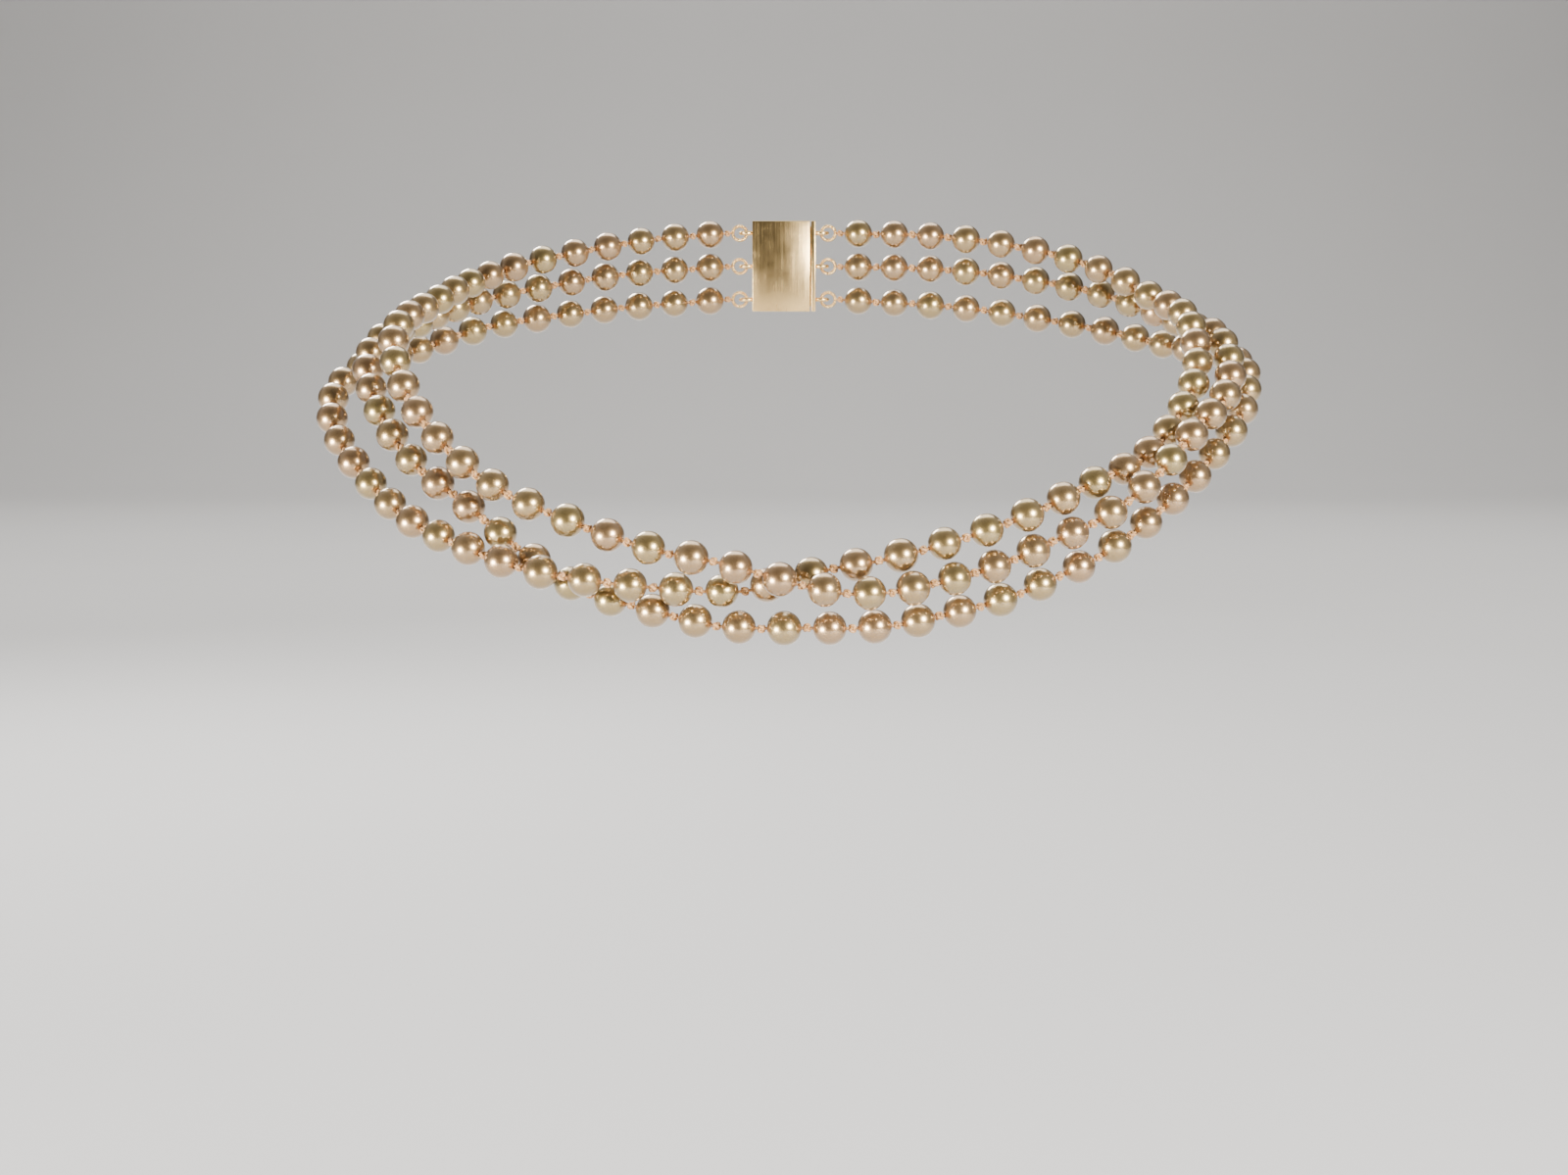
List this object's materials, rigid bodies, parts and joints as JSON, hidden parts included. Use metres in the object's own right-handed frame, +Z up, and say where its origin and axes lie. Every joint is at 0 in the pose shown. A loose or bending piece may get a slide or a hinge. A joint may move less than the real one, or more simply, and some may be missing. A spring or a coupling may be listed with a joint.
{
  "type": "pearl necklace",
  "caption": "Multi-strand necklace of champagne pearls on hand-knotted silk, one strand lapping over the others at the front, closed by a gold-tone box clasp.",
  "frame": {"origin": "middle of the neck opening, at the height half way between the lowest pearls at the front and the nape", "axes": "+X across the wearer, -Y towards the front, +Z up"},
  "size_m": [0.1778, 0.1286, 0.0778],
  "materials": {
    "pearl": "gloss",
    "silk": "satin",
    "gimp": "satin",
    "clasp_gold": "polished",
    "spring_gold": "satin"
  },
  "bodies": {
    "necklace_front": {"strand_1_front_pearls": "pearl", "strand_2_front_pearls": "pearl", "strand_3_front_pearls": "pearl", "strand_1_front_silk": "silk", "strand_2_front_silk": "silk", "strand_3_front_silk": "silk"},
    "left_side": {"strand_1_left_side_pearls": "pearl", "strand_2_left_side_pearls": "pearl", "strand_3_left_side_pearls": "pearl", "strand_1_left_side_silk": "silk", "strand_2_left_side_silk": "silk", "strand_3_left_side_silk": "silk"},
    "left_nape": {"strand_1_left_nape_pearls": "pearl", "strand_2_left_nape_pearls": "pearl", "strand_3_left_nape_pearls": "pearl", "strand_1_left_nape_silk": "silk", "strand_2_left_nape_silk": "silk", "strand_3_left_nape_silk": "silk", "left_gimp_loops": "gimp"},
    "clasp_box": {"clasp_shell": "clasp_gold", "clasp_cover": "clasp_gold", "box_rings": "clasp_gold"},
    "right_side": {"strand_1_right_side_pearls": "pearl", "strand_2_right_side_pearls": "pearl", "strand_3_right_side_pearls": "pearl", "strand_1_right_side_silk": "silk", "strand_2_right_side_silk": "silk", "strand_3_right_side_silk": "silk"},
    "right_nape": {"strand_1_right_nape_pearls": "pearl", "strand_2_right_nape_pearls": "pearl", "strand_3_right_nape_pearls": "pearl", "strand_1_right_nape_silk": "silk", "strand_2_right_nape_silk": "silk", "strand_3_right_nape_silk": "silk", "right_gimp_loops": "gimp"},
    "clasp_tongue": {"tongue_plate": "clasp_gold", "tongue_leaf": "spring_gold", "tongue_rings": "clasp_gold"},
    "tongue_tab": {"tongue_spring": "spring_gold"}
  },
  "joints": [
    {"name": "left_front_flex", "type": "hinge", "parent": "necklace_front", "child": "left_side", "pos_m": [-0.046, -0.055, -0.018], "axis": [0, 0, 1], "range_deg": [0, 16], "deforming": ["tongue_spring"]},
    {"name": "left_side_flex", "type": "hinge", "parent": "left_side", "child": "left_nape", "pos_m": [-0.073, 0.01475, 0.0195], "axis": [0.704, 0.277, 0.654], "range_deg": [0, 16]},
    {"name": "left_clasp_swing", "type": "hinge", "parent": "left_nape", "child": "clasp_box", "pos_m": [-0.0079, 0.06, 0.033], "axis": [0, 0, -1], "range_deg": [0, 27]},
    {"name": "right_front_flex", "type": "hinge", "parent": "necklace_front", "child": "right_side", "pos_m": [0.046, -0.0505, -0.018], "axis": [0, 0, -1], "range_deg": [0, 16]},
    {"name": "right_side_flex", "type": "hinge", "parent": "right_side", "child": "right_nape", "pos_m": [0.079, 0.017, 0.0198], "axis": [0.704, -0.277, -0.654], "range_deg": [0, 16]},
    {"name": "right_clasp_swing", "type": "hinge", "parent": "right_nape", "child": "clasp_tongue", "pos_m": [0.0079, 0.06, 0.033], "axis": [0, 0, 1], "range_deg": [0, 27]},
    {"name": "tab_press", "type": "hinge", "parent": "clasp_tongue", "child": "tongue_tab", "pos_m": [-0.0041, 0.0593, 0.033], "axis": [0, 0, -1], "range_deg": [0, 6], "stiffness_Nm_per_rad": 0.002}
  ],
  "couplings": [
    {"joint": "left_side_flex", "follows": "left_front_flex", "ratio": 1},
    {"joint": "left_clasp_swing", "follows": "left_front_flex", "ratio": 1.654},
    {"joint": "right_front_flex", "follows": "left_front_flex", "ratio": 1},
    {"joint": "right_side_flex", "follows": "left_front_flex", "ratio": 1},
    {"joint": "right_clasp_swing", "follows": "left_front_flex", "ratio": 1.654}
  ]
}
